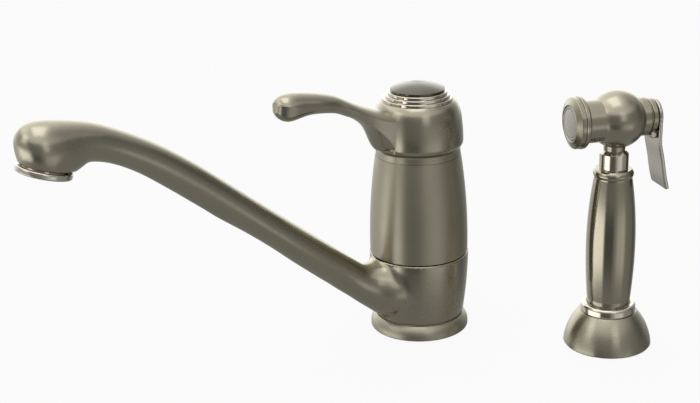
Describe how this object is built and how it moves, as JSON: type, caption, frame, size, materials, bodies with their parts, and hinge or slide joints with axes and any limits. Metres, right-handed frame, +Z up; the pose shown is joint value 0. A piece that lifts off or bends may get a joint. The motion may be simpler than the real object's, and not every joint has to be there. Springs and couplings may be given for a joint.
{
  "type": "side spray kitchen faucet",
  "caption": "Single-lever kitchen faucet with a swivelling cast spout and domed handle, and a separate trigger side spray standing in its own deck holder.",
  "frame": {"origin": "the faucet's vertical axis at the deck surface, where the base flange sits", "axes": "+Z up, +X from the faucet towards the side spray, +Y towards the back of the deck; the spout and the lever point to the front left"},
  "size_m": [0.3033, 0.2128, 0.2279],
  "materials": {
    "satin_nickel": "satin brushed nickel plate",
    "polished_nickel": "polished nickel plate",
    "brass": "machined",
    "steel": "bright",
    "rubber": "matte",
    "plastic": "moulded",
    "ceramic": null,
    "face_plastic": "satin grey"
  },
  "bodies": {
    "base": {"base_flange": "satin_nickel", "base_gasket": "rubber", "valve_body": "brass", "mounting_studs": "steel", "clamp_gasket": "rubber", "clamp_plate": "steel", "stud_nuts": "steel", "lower_slip_ring": "plastic", "upper_slip_ring": "plastic", "spindle_seals": "rubber", "barrel_sleeve": "satin_nickel", "bonnet_ring": "satin_nickel", "cartridge_housing": "plastic", "cartridge_nut": "brass", "fixed_disc": "ceramic", "diverter_seat": "brass", "spray_holder": "satin_nickel", "holder_gasket": "rubber", "holder_shank": "polished_nickel", "holder_bush": "plastic", "holder_washer": "steel", "holder_nut": "brass"},
    "spout": {"spout": "satin_nickel", "aerator_ring": "polished_nickel", "aerator_gasket": "rubber", "aerator_insert": "plastic", "aerator_screen": "steel"},
    "rotor": {"cartridge_rotor": "plastic", "pivot_pin": "steel"},
    "disc": {"moving_disc": "ceramic", "disc_carrier": "plastic"},
    "lever": {"cartridge_stem": "steel", "lever_handle": "satin_nickel", "handle_screw": "steel", "cap_trim_ring": "polished_nickel", "cap_disc": "satin_nickel"},
    "diverter": {"diverter_plunger": "plastic"},
    "spray": {"spray_handle": "polished_nickel", "hose_connector": "brass", "neck_ferrule": "polished_nickel", "spray_body": "satin_nickel", "nose_bezel": "polished_nickel", "spray_face": "face_plastic", "spray_insert": "plastic", "rear_collar": "polished_nickel", "stem_o_ring": "rubber", "trigger_pin": "polished_nickel", "valve_spring": "steel"},
    "trigger": {"trigger_lever": "satin_nickel"},
    "valve": {"valve_stem": "steel", "valve_washer": "rubber", "stem_button": "polished_nickel"}
  },
  "joints": [
    {"name": "spout_swivel", "type": "hinge", "parent": "base", "child": "spout", "pos_m": [0, 0, 0.028], "axis": [0, 0, 1], "range_deg": [-19, 101]},
    {"name": "lever_turn", "type": "hinge", "parent": "base", "child": "rotor", "pos_m": [0, 0, 0.092], "axis": [0, 0, 1], "range_deg": [-45, 45]},
    {"name": "lever_lift", "type": "hinge", "parent": "rotor", "child": "lever", "pos_m": [0, 0, 0.092], "axis": [-0.7559, 0.6547, 0], "range_deg": [0, 20]},
    {"name": "disc_slide", "type": "slide", "parent": "rotor", "child": "disc", "axis": [-0.6547, -0.7559, 0], "range_m": [0, 0.0028]},
    {"name": "diverter_slide", "type": "slide", "parent": "base", "child": "diverter", "axis": [0, 1, 0], "range_m": [0, 0.002]},
    {"name": "spray_lift", "type": "slide", "parent": "base", "child": "spray", "axis": [0, 0, 1], "range_m": [0, 0.06]},
    {"name": "trigger_squeeze", "type": "hinge", "parent": "spray", "child": "trigger", "pos_m": [0.12917, 0.0104, 0.1249], "axis": [-0.5225, 0.8526, 0], "range_deg": [0, 12], "stiffness_Nm_per_rad": 0.5, "springref_deg": -11.46},
    {"name": "valve_slide", "type": "slide", "parent": "spray", "child": "valve", "axis": [0.8526, 0.5225, 0], "range_m": [0, 0.0029], "deforming": ["valve_spring"]}
  ],
  "couplings": [
    {"joint": "disc_slide", "follows": "lever_lift", "m_per_rad": 0.0075},
    {"joint": "valve_slide", "follows": "trigger_squeeze", "m_per_rad": 0.013369}
  ]
}
